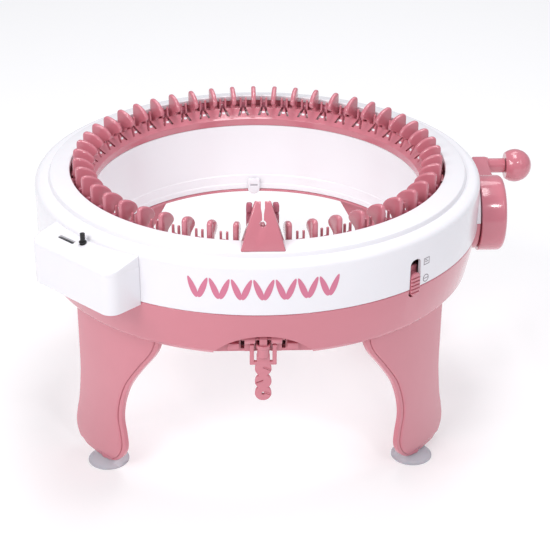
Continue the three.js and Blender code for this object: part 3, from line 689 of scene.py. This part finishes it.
def add_bed():
    """White cylinder with a slot for each needle and two shallow steps on its inside."""
    bed = ring(rounded([
        (123, BED_LOW_Z, 0.6), (128.2, BED_LOW_Z, 0.3), (128.2, 132.3, 0.3),
        (BED_OUT_R, 132.3, 0.6), (BED_OUT_R, 196.4, 0.5),
        (131.3, 196.4, 0.2), (131.3, COLLAR_LOW_Z - 0.3, 0.2), (124, COLLAR_LOW_Z - 0.3, 0.5),
        (124, 142.6, 0.4), (123.5, 141.8, 0.3), (123.5, 134.6, 0.4), (123, 133.8, 0.3)]), 288)
    slots = copies(block((133.4, -2.3, 130), (142, 2.3, 200), 0), half_steps())
    cut(bed, slots)
    # The bed wears the lighter white, painted light on the ring's inner wall
    settle(eased(bed, 0.25), "bed_cylinder", BED_WHITE_PAINTED_LIGHT, "cylinder", ["needle_bed"])


FIN_T, FIN_BEVEL = 3.8, 1.45
RIM_TOP_Z, RIM_LOW_Z = 200, 196.7


def fin():
    """Petal-shaped fin in a radial plane: a wide round leaf with a straight outer edge."""
    top = FIN_TOP_Z
    leaf = spline([(139, top - 3.6), (138.7, top - 1.7), (137.7, top - 0.5), (136.1, top),
                   (133.6, top - 0.3), (130.8, top - 1.2), (128.0, top - 2.6),
                   (125.4, top - 4.6), (123.4, top - 7.0), (122.7, top - 9.0),
                   (123.2, top - 10.8), (125.2, top - 12.2), (128.2, top - 13.4),
                   (130.4, top - 14.8), (131.2, top - 17.0)], 4)
    outline = [*leaf, (131.2, 196.8), (139, 196.8)]
    return moved(prism(outline, -FIN_T / 2, FIN_T / 2, FIN_BEVEL, 4), RIGHT_SIDE_UP)


def fin_foot():
    """Web that ties a fin to its neighbours outside the needles, up to the slots."""
    outline = rounded([(132, -6.1, 0), (140.6, -6.5, 0.8), (140.6, 6.5, 0.8), (132, 6.1, 0)], 3)
    return prism(outline, RIM_LOW_Z, 198.6, 0.3)


def prong(side):
    """Thin guard beside a needle, rounded at its top."""
    outline = rounded([(131.2, 198, 0), (133.6, 198, 0), (133.4, 208.8, 0.9),
                       (131.8, 208.8, 0.7)], 3)
    plate = moved(prism(outline, -0.8, 0.8, 0.3), RIGHT_SIDE_UP)
    return moved(plate, move(y=side * 2.2))


def slope_slit(side):
    """Slanted slit beside a needle, down the collar's slope."""
    tool = block((126.6, -1.0, -6.2), (133.6, 1.0, 2.6), 0)
    return moved(tool, move(y=side * 2.1, z=198.4)
                 @ Matrix.Rotation(math.radians(26) * side, 4, "X"))


def add_fin_ring():
    """Pink collar that carries the fins, the needles' guards and the white marks."""
    collar = ring(rounded([
        (124, COLLAR_LOW_Z, 0.4), (131, COLLAR_LOW_Z, 0.2), (131, RIM_LOW_Z, 0.2),
        (133.2, RIM_LOW_Z, 0.2), (133.2, RIM_TOP_Z, 0.4), (131.2, RIM_TOP_Z, 0.8),
        (128.2, 196.4, 1.6), (125.4, 193.6, 0.9), (124, 192.6, 0.6)], 4), 288)
    steps = [about_axis(i * PITCH) for i in range(NEEDLES)]
    join(collar, copies(fin_foot(), steps), copies(fin(), steps),
         copies(prong(1), half_steps()), copies(prong(-1), half_steps()))
    for side in (1, -1):
        cut(collar, copies(slope_slit(side), half_steps()))
    settle(collar, "finned_ring", PINK, "cylinder", ["fin_ring"])
    tip = moved(block((-0.5, -1.2, -1.3), (0.3, 1.2, 0.4), 0.15),
                move(x=129.1, z=197.2) @ Matrix.Rotation(math.radians(38), 4, "Y"))
    settle(copies(tip, half_steps()), "slot_marks", WHITE, "cylinder")


def needle(lift):
    """Needle in a radial plane: shank, butt, latch and a round outward hook."""
    top = NEEDLE_TOP_Z
    shank = rounded([
        (134, 141, 0.6), (138.2, 141, 0.6), (138.2, 160, 0.5), (142.1, 160.8, 0.6),
        (142.1, 165.2, 0.6), (138.2, 166, 0.5), (138.6, top - 8.6, 0.8),
        (136.3, top - 7.2, 0.8), (136.3, top - 3.2, 0.6), (137.4, top - 3.2, 0.5),
        (137.5, top - 6.2, 0.3), (138.9, top - 6.2, 0.4), (138.9, top - 1.6, 1.2),
        (137.4, top, 1.0), (135.4, top, 1.3), (134, top - 2.2, 1.0)], 3)
    body = moved(prism(shank, -2.1, 2.1, 0.3, 1), RIGHT_SIDE_UP)
    front = rounded([(-2, 130, 0), (2, 130, 0), (2, top, 1.95), (-2, top, 1.95)], 8)
    meet(body, moved(prism(front, 130, 146, 0), SIDE_ON))
    return moved(eased(body, 0.5, 40, 3), move(z=lift))


def add_needles():
    """All needles; the moving ones come first and are centred on the front."""
    first = (MOVING_NEEDLES - 1) / 2
    for i in range(NEEDLES):
        degrees = (i - first) * PITCH - 90
        moving = i < MOVING_NEEDLES
        lift = NEEDLE_LIFT if abs(i - first) < 1 else 0
        name = f"needle_{i + 1:02d}"
        body = name if moving else "cylinder"
        # The needles wear the darkened pink, painted shade between the fins
        settle(needle(lift), name + "_hooked", NEEDLE_SHADED_PINK, body, [name] if moving else (),
               turn=degrees)


def add_tail_clip():
    """Small tab that holds the end of the yarn, at the back of the opening."""
    low, high = levels("yarn_tail_clip")
    blade = front_plate(rounded([(-5, high, 0.8), (-5, low, 4.9), (5, low, 4.9),
                                 (5, high, 0.8)], 8), -121.6, -119.4, 0.5)
    root = block((-5, -122.5, high - 3.6), (5, -119.6, high), 0.4)
    slit = block((-3.2, -125, 133.7), (3.2, -115, 134.9), 0)
    mark = block((-1.8, -121.6, high - 0.6), (1.8, -120.6, high + 1), 0)
    cut(join(blade, root), slit, mark)
    settle(eased(blade, 0.2), "tail_clip_tab", WHITE, "cylinder", ["yarn_tail_clip"], turn=180)


# Crank
HUB_OUT_X = 188.8
ARM_IN_X, ARM_OUT_X, ARM_HUB_END_R, ARM_KNOB_END_R = 176, 188, 10, 7.3
NECK_R, NECK_COLLAR_R, NECK_IN_X = 5.9, 6.9, 186
SEAM_ANGLE, SEAM_DEPTH, SEAM_WIDTH = 0.62 * math.pi, 0.22, 0.022


def add_crank():
    """Round hub with a dished face, the arm and the neck that carries the knob."""
    out_x, dish_x = HUB_OUT_X, HUB_OUT_X - 1.2
    hub = turned(half_outline([(0, HUB_IN_X), (HUB_R, HUB_IN_X, 0.8), (HUB_R, out_x, 4.2),
                               (11, out_x, 0.8), (9.6, dish_x, 0.6), (0, dish_x)], 6), 96)
    lean = math.atan2(KNOB_Z - CRANK_Z, KNOB_Y)
    length = math.hypot(KNOB_Z - CRANK_Z, KNOB_Y)
    outline = [*arc(ARM_HUB_END_R, 180, 360, 16), *arc(ARM_KNOB_END_R, 0, 180, 24, y=length)]
    arm = prism(outline, ARM_IN_X, ARM_OUT_X, 1.6, 4)
    neck_end_x = KNOB_FACE_X - 0.4
    neck = turned(half_outline([(0, NECK_IN_X), (NECK_COLLAR_R, NECK_IN_X, 0.2),
                                (NECK_COLLAR_R, 188.6, 0.4), (NECK_R, 189.6, 0.8),
                                (NECK_R, neck_end_x, 0.5), (0, neck_end_x)], 3), 40)
    moved(neck, move(y=length))
    screw_recess = rod(4.8, 186, 200, 32)
    cut(join(hub, arm, neck), screw_recess)
    place = (move(z=CRANK_Z) @ Matrix.Rotation(math.radians(90), 4, "Y")
             @ Matrix.Rotation(lean, 4, "Z"))
    moved(eased(hub, 0.4), place)
    settle(hub, "crank_moulding", PINK, "crank", ["crank_handle"])


def add_ball():
    """Ball knob with a fine mould seam round it and a bore for its pin."""
    centre_x = KNOB_END_X - KNOB_R
    start = math.acos((centre_x - KNOB_FACE_X) / KNOB_R)
    profile = [(0, KNOB_FACE_X)]
    for i in range(28):
        angle = start + (math.pi - start) * i / 28
        dip = SEAM_DEPTH * math.exp(-((angle - SEAM_ANGLE) / SEAM_WIDTH) ** 2)
        profile.append(((KNOB_R - dip) * math.sin(angle),
                        centre_x - (KNOB_R - dip) * math.cos(angle)))
    profile.append((0, KNOB_END_X))
    ball = turned(profile, 64)
    pin_low, pin_high = corners("knob_pin")
    pin_r, pin_end_x = (pin_high.z - pin_low.z) / 2, pin_high.x - AXIS_X
    cut(ball, rod(pin_r + 0.3, KNOB_FACE_X - 4, pin_end_x + 0.4, 32, 0))
    moved(along_x(ball), move(y=KNOB_Y, z=KNOB_Z))
    settle(ball, "crank_ball", PINK, "knob", ["crank_knob"])


def add_hub_screw():
    """Screw with a cross recess, sunk in the hub's face."""
    head = turned(half_outline([(0, 178.5), (1.4, 178.5, 0.2), (1.4, 186.3, 0.1),
                                (4.2, 186.3, 0.3), (4.2, 188.7, 0.9), (0, 188.7)], 3), 40)
    cross = [block((-2.4, -0.5, 187.6), (2.4, 0.5, 190), 0),
             block((-0.5, -2.4, 187.6), (0.5, 2.4, 190), 0)]
    cut(head, *cross)
    moved(along_x(head), move(z=CRANK_Z))
    settle(head, "hub_cross_screw", STEEL, "crank", ["hub_screw"])


# Legs and feet
LEG_ANGLE = 43
LEG_T = 4.5
LEG_FOOT_Z, LEG_TOP_Z = 4, 128.7
LEG_TOP_OUT, LEG_FOOT_OUT, LEG_CURVE_R = 156, 153, 230
FOOT_U, FOOT_OUT, FOOT_R = -22, 146, 15.5
FOOT_BOSS_R, FOOT_HOLE_R = 5.8, 3.8

# Edges of a leg's face as (distance along the drum, height), each followed by a smooth curve
LEG_OUTER_EDGE = [(-41, LEG_TOP_Z), (-42, 104), (-43.6, 75), (-48.4, 49), (-53.4, 34),
                  (-56.8, 22), (-55.6, 13), (-49, 6), (-38, LEG_FOOT_Z)]
LEG_INNER_EDGE = [(-22, LEG_FOOT_Z), (-13.5, 5.2), (-5.5, 9), (0.8, 15.5), (4.3, 24.5),
                  (3.9, 35.5), (2.5, 46), (3.1, 55), (6.2, 67), (13, 82.5), (25, 99.5),
                  (37, 115), (41.6, 124), (42.4, LEG_TOP_Z)]

# Distances in from the inner edge and the foot: where the rim ends, where the groove ends and
# where the raised panel is flat. FAR_FROM_EDGE stands for any distance past them all.
RIM_W, GROOVE_END, PANEL_FLAT = 3.25, 3.72, 4.7
RIM_DEPTH, GROOVE_DEPTH, PANEL_ROUND, EDGE_ROUND = 0.9, 1.4, 0.95, 0.9
EDGE_STEPS = (0, 0.12, 0.45, 0.9, 3.0, 3.2, 3.3, 3.7, 3.76, 3.9, 4.2, 4.7)
SIDE_STEPS = (0, 0.12, 0.45, 0.9, 3.0, 7, 12)
FAR_FROM_EDGE = 9


def leg_face(u, z):
    """How far out from the axis a leg's outer face lies."""
    share = min(1, max(0, z / LEG_TOP_Z))
    return LEG_FOOT_OUT + (LEG_TOP_OUT - LEG_FOOT_OUT) * share - u * u / (2 * LEG_CURVE_R)


def across(curve, z):
    """Where an edge of the leg stands at a height."""
    for (u0, z0), (u1, z1) in zip(curve, curve[1:]):
        if min(z0, z1) <= z <= max(z0, z1) and z0 != z1:
            return u0 + (u1 - u0) * (z - z0) / (z1 - z0)
    return curve[0][0] if abs(curve[0][1] - z) < abs(curve[-1][1] - z) else curve[-1][0]


def leg_rows():
    """Both edges of the leg, level by level from the foot, with finer levels at the foot's rim."""
    outer, inner = spline(LEG_OUTER_EDGE, 8), spline(LEG_INNER_EDGE, 8)
    fine = [LEG_FOOT_Z + step for step in EDGE_STEPS]
    coarse = [LEG_FOOT_Z + (LEG_TOP_Z - LEG_FOOT_Z) * (i / 56) ** 1.5 for i in range(57)]
    heights = fine + [z for z in coarse if z > fine[-1] + 0.4]
    return [(across(outer, z), across(inner, z), z) for z in heights]


def leg_surface(bm, rows, columns, depth_of):
    """Grid over the leg's width; depth_of gives how deep each point lies."""
    grid = []
    for left, right, z in rows:
        width = right - left
        line = []
        for side, distance in columns:
            reach = min(distance, width * 0.45)
            u = left + width / 2 if side == 0 else (left + reach if side < 0 else right - reach)
            depth = depth_of(side, distance, z)
            line.append(bm.verts.new((u, -(leg_face(u, z) - depth), z)))
        grid.append(line)
    for here, there in zip(grid, grid[1:]):
        for i in range(len(here) - 1):
            bm.faces.new((here[i], here[i + 1], there[i + 1], there[i]))
    return grid


def face_depth(side, distance, z):
    """Depth behind the raised panel: a rim and a fine groove run along the inner edge and foot."""
    from_rim = min(distance if side > 0 else FAR_FROM_EDGE, z - LEG_FOOT_Z)
    if from_rim < RIM_W:
        depth = RIM_DEPTH
    elif from_rim < GROOVE_END:
        depth = GROOVE_DEPTH
    else:
        short = max(0.0, (PANEL_FLAT - from_rim) / PANEL_ROUND)
        depth = PANEL_ROUND * (1 - math.sqrt(max(0.0, 1 - short ** 2)))
    from_edge = min(distance if side else FAR_FROM_EDGE, z - LEG_FOOT_Z)
    if from_edge < EDGE_ROUND:
        short = EDGE_ROUND - from_edge
        depth += EDGE_ROUND - math.sqrt(max(0.0, EDGE_ROUND ** 2 - short ** 2))
    return depth


def leg_plate():
    """Leg shell: a rimmed, raised face panel on a plain back."""
    rows = leg_rows()
    columns = [(-1, step) for step in SIDE_STEPS] + [(0, 0), (1, 12), (1, 7)]
    columns += [(1, step) for step in reversed(EDGE_STEPS)]
    bm = bmesh.new()
    front = leg_surface(bm, rows, columns, face_depth)
    back = leg_surface(bm, rows, columns, lambda side, distance, z: LEG_T)
    for a, b in zip(zip(front, front[1:]), zip(back, back[1:])):
        for end in (0, -1):
            bm.faces.new((a[0][end], a[1][end], b[1][end], b[0][end]))
    for level in (0, -1):
        for i in range(len(columns) - 1):
            bm.faces.new((front[level][i], front[level][i + 1], back[level][i + 1],
                          back[level][i]))
    return piece_from(bm)


def leg():
    """The plate with a rib on its back and a hollow boss for the suction foot."""
    plate = leg_plate()
    rib = block((-25, -150, 17), (-21, 4 - FOOT_OUT, 112), 0.5)
    boss = moved(rod(FOOT_BOSS_R, LEG_FOOT_Z, 20, 40, 0.6), move(x=FOOT_U, y=-FOOT_OUT))
    hole = moved(rod(FOOT_HOLE_R, -5, 17, 24), move(x=FOOT_U, y=-FOOT_OUT))
    return cut(join(plate, rib, boss), hole)


def suction_foot():
    """Shallow cup on a stem that plugs into the leg's boss."""
    return turned(half_outline([
        (0, 1.6), (6, 1.4, 1), (12, 0.5, 0.5), (13, 0, 0.2), (FOOT_R, 0, 0.2),
        (FOOT_R, 0.8, 0.3), (12.5, 2, 1.5), (7, 3.2, 1), (3.4, 3.6, 0.3), (3.4, 16, 0.5),
        (0, 16)], 3), 56)


def add_legs():
    """Four legs with their feet; one of each pair is the mirror image of the other."""
    sides = {"front_left": (-LEG_ANGLE, 1), "front_right": (LEG_ANGLE, -1),
             "rear_right": (180 - LEG_ANGLE, 1), "rear_left": (LEG_ANGLE - 180, -1)}
    for name, (degrees, hand) in sides.items():
        flip = Matrix.Diagonal((hand, 1, 1, 1))
        blade = leg()
        moved(blade, flip)
        if hand < 0:
            blade.data.flip_normals()
        settle(blade, "leg_" + name + "_shell", PINK, "housing", ["leg_" + name], turn=degrees)
        cup = moved(suction_foot(), move(x=hand * FOOT_U, y=-FOOT_OUT))
        settle(cup, "cup_" + name, CUP, "housing", ["suction_foot_" + name], turn=degrees)


# Row counter
COUNTER_ANGLE = -45
COUNTER_LEFT, COUNTER_RIGHT, COUNTER_FACE, COUNTER_BACK = -39, 45, 189.5, 150
COUNTER_CORNER_R, CASE_WALL, DRUM_GAP = 9, 1.8, 0.2
LID_FRONT_Z, LID_RISE = 193.2, 12.8
WHEEL_X, WHEEL_Y, WHEEL_Z = -14, -175.5, 186.3
WHEEL_R, WHEEL_W, WHEEL_PITCH, WHEEL_BORE_R = 4.8, 4.4, 5, 1.5
WINDOW_HALF_W, WINDOW_HALF_D, WINDOW_CORNER_R = 7.7, 1.35, 0.7
RESET_Y = -172.9


def counter_outline(gap):
    """Outline seen from above, drawn in by the gap on its three free sides."""
    left, right = COUNTER_LEFT + gap, COUNTER_RIGHT - gap
    face, corner = -COUNTER_FACE + gap, COUNTER_CORNER_R - gap
    return rounded([(right, -COUNTER_BACK, 0), (left, -COUNTER_BACK, 0), (left, face, corner),
                    (right, face, corner)], 12)


def counter_block(gap, drum_r, low, high):
    """Upright block that follows the drum behind, smaller by the gap."""
    body = prism(counter_outline(gap), low, high, 0)
    return cut(body, rod(drum_r, low - 3, high + 3, 288, 0))


def lid_slope():
    """Everything above the lid's sloping top."""
    tool = block((-70, -6, 0), (70, 60, 30), 0)
    return moved(tool, move(y=-COUNTER_FACE, z=LID_FRONT_Z)
                 @ Matrix.Rotation(math.radians(LID_RISE), 4, "X"))


def window_outline(margin):
    w, d = WINDOW_HALF_W + margin, WINDOW_HALF_D + margin
    return soft_box(WHEEL_X - w, WHEEL_Y - d, WHEEL_X + w, WHEEL_Y + d, WINDOW_CORNER_R,
                    WINDOW_CORNER_R)


def add_counter():
    """Hollow case and a lid with a sloping top, a window and a hole for the reset pin."""
    low, lid_z = levels("counter_case")[0], levels("counter_lid")[0]
    case = eased(counter_block(0, BODY_R + DRUM_GAP, low, lid_z + 4), 0.3)
    cut(case, block((-80, -210, lid_z - 0.06), (80, -100, lid_z + 9), 0),
        counter_block(CASE_WALL, BODY_R + 2.2, low + CASE_WALL, lid_z + 2))
    settle(case, "counter_box", WHITE, "housing", ["counter_case"], turn=COUNTER_ANGLE)
    lid = cut(counter_block(0, BODY_R + DRUM_GAP, lid_z - 5, 204), lid_slope())
    eased(lid, 1.1, 30, 4)
    cut(lid, block((-80, -210, lid_z - 9), (80, -100, lid_z), 0),
        prism(window_outline(0.3), 180, 200, 0),
        moved(rod(2.3, 180, 204, 32, 0), move(y=RESET_Y)))
    settle(lid, "counter_top", WHITE, "housing", ["counter_lid"], turn=COUNTER_ANGLE)
    settle(prism(window_outline(0), 194.2, 195.6, 0.15), "counter_pane", WINDOW, "housing",
           ["counter_window"], turn=COUNTER_ANGLE)


def add_counter_wheels():
    """Three drums with ten notches each, one for each digit."""
    for place, name in ((1, "units"), (0, "tens"), (-1, "hundreds")):
        outline = rounded([(WHEEL_BORE_R, -WHEEL_W / 2, 0.2), (WHEEL_R, -WHEEL_W / 2, 0.3),
                           (WHEEL_R, WHEEL_W / 2, 0.3), (WHEEL_BORE_R, WHEEL_W / 2, 0.2)], 2)
        wheel = along_x(ring(outline, 40))
        notch = moved(along_x(rod(0.5, WHEEL_W / 2 - 0.9, WHEEL_W, 12, 0)), move(z=WHEEL_R))
        turns = [Matrix.Rotation(math.radians(36 * i + 18), 4, "X") for i in range(10)]
        cut(wheel, copies(notch, turns))
        moved(wheel, move(WHEEL_X + place * WHEEL_PITCH, WHEEL_Y, WHEEL_Z))
        settle(wheel, "counter_drum_" + name, BLACK, "wheel_" + name,
               ["counter_wheel_" + name], turn=COUNTER_ANGLE)


KNURLS, KNURL_R, KNURL_DEPTH = 18, 1.68, 0.14


def add_reset_pin():
    """Black pin with a knurled cap and four grooves round it."""
    low, high = levels("counter_reset_pin")
    knurled = []
    for i in range(KNURLS * 4):
        angle = 2 * math.pi * i / (KNURLS * 4)
        r = KNURL_R + KNURL_DEPTH * math.cos(KNURLS * angle)
        knurled.append((r * math.cos(angle), r * math.sin(angle)))
    cap = prism(knurled, 198.4, high, 0.25)
    groove = ring(box_outline(1.6, -0.25, 3, 0.25), 48)
    cut(cap, copies(groove, [move(z=199.9 + 1.25 * i) for i in range(4)]))
    stem = turned(half_outline([(0, low), (1.9, low, 0.2), (1.9, 197.9, 0.1),
                                (2.7, 197.9, 0.2), (2.7, 198.8, 0.3), (0, 198.8)], 2), 40)
    moved(join(stem, cap), move(y=RESET_Y))
    settle(stem, "reset_knurl", BLACK, "reset_pin", ["counter_reset_pin"], turn=COUNTER_ANGLE)


# Selector
SLIDER_FACE = 169.2
SLIDER_HALF_W, SLIDER_CORNER_R, SLIDER_GROOVES = 4.3, 3.6, 5
FLANGE_REACH = 3


def add_selector():
    """Ribbed slider on a wider flange that stays behind the slot."""
    foot, head = levels("selector_knob")
    low, high = foot + FLANGE_REACH, head - FLANGE_REACH
    face = soft_box(-SLIDER_HALF_W, low, SLIDER_HALF_W, high, SLIDER_CORNER_R, SLIDER_CORNER_R)
    body = front_plate(face, -SLIDER_FACE, -162.5, 0.7, 3)
    flange = block((-6.5, -163, foot), (6.5, -160.4, head), 0.4)
    groove = block((-5, -173, -0.6), (5, 1 - SLIDER_FACE, 0.6), 0.2)
    heights = [move(z=low + 2.9 + 2.75 * i) for i in range(SLIDER_GROOVES)]
    cut(join(body, flange), copies(groove, heights))
    settle(body, "selector_slider", PINK, "selector", ["selector_knob"], turn=SLIDER_ANGLE)


# Tension clip
LOBE_R, EYE_Z = 5.8, 97.6


def lobe(z, side):
    """Flat round lobe with a ridge beside its slanted slit."""
    outline = arc(LOBE_R, 0, 360, 44, y=z)[:-1]
    disc = front_plate(outline, PIVOT_Y - CLIP_T / 2, PIVOT_Y + CLIP_T / 2, 0.5, 3)
    lip = block((0.5, PIVOT_Y - 2.0, 0.1), (6.0, PIVOT_Y - 1, 0.9), 0.25)
    return join(disc, moved(lip, slanted(z, side)))


def slanted(z, side):
    """Place of a lobe's slit, which leans down to one side."""
    lean = math.radians(24 if side > 0 else 156)
    return move(z=z + 1.1) @ Matrix.Rotation(lean, 4, "Y")


def slit(z, side):
    return moved(block((-0.2, PIVOT_Y - 4, -0.45), (8, PIVOT_Y + 4, 0.1), 0), slanted(z, side))


def add_tension_clip():
    """Strip that hangs from its pin: knuckle, collar, column, side arms and three lobes."""
    near, far = PIVOT_Y - CLIP_T / 2, PIVOT_Y + CLIP_T / 2
    knuckle = along_x(rod(3, -2.7, 2.7, 40, 0.5))
    moved(knuckle, move(y=PIVOT_Y, z=PIVOT_Z))
    neck = block((-2.7, PIVOT_Y - 3, 134), (2.7, PIVOT_Y + 2.6, PIVOT_Z), 0.6)
    collar = turned(half_outline([(0, 126.8), (4.3, 126.8, 0.6), (4.3, 133.4, 0.4),
                                  (5, 134, 0.3), (5, 136.4, 0.5), (3.7, 136.4, 0.3),
                                  (3.7, 135.2, 0.3), (0, 135.2)], 4), 56)
    moved(collar, move(y=PIVOT_Y))
    cut(collar, block((-9, PIVOT_Y + 2.8, 120), (9, PIVOT_Y + 9, 142), 0))
    column = front_plate(soft_box(-4.6, 114, 4.6, 129, 0.5, 1.2, 3), near, far, 0.5)
    foot = block((-9.3, near, 120.4), (9.3, far, 123), 0.5)
    arms = mirrored_blocks((6.3, near, 120.4), (9.3, far, 136), 0.5)
    places = ((117.2, 1), (107, -1), (EYE_Z, 1))
    join(knuckle, neck, collar, column, foot, *arms, *[lobe(z, side) for z, side in places])
    eye = moved(rod(1.3, -20, 20, 24, 0), move(y=PIVOT_Y, z=EYE_Z) @ RIGHT_SIDE_UP)
    pin = moved(along_x(rod(1.5, -20, 20, 24, 0)), move(y=PIVOT_Y, z=PIVOT_Z))
    cut(knuckle, *[slit(z, side) for z, side in places], eye, pin)
    settle(knuckle, "tension_strip", PINK, "clip", ["tension_clip"])


# Pieces that keep their frame shape
def dress_inner_pieces():
    looks = {"cam_track_ring": PINK, "crown_gear": NYLON, "drive_pinion": NYLON,
             "crank_bush": BLACK, "crank_shaft": STEEL, "knob_pin": STEEL,
             "counter_shaft": STEEL, "clip_hinge_pin": PINK}
    looks.update({f"base_screw_{i}": STEEL for i in range(1, 7)})
    for name, material in looks.items():
        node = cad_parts[name]
        node.data.materials.clear()
        node.data.materials.append(material)


add_camera()
add_studio()
add_cover()
add_base()
add_printed_motif()
add_pictograms()
add_yarn_guide()
add_bed()
add_fin_ring()
add_needles()
add_tail_clip()
add_crank()
add_ball()
add_hub_screw()
add_legs()
add_counter()
add_counter_wheels()
add_reset_pin()
add_selector()
add_tension_clip()
dress_inner_pieces()
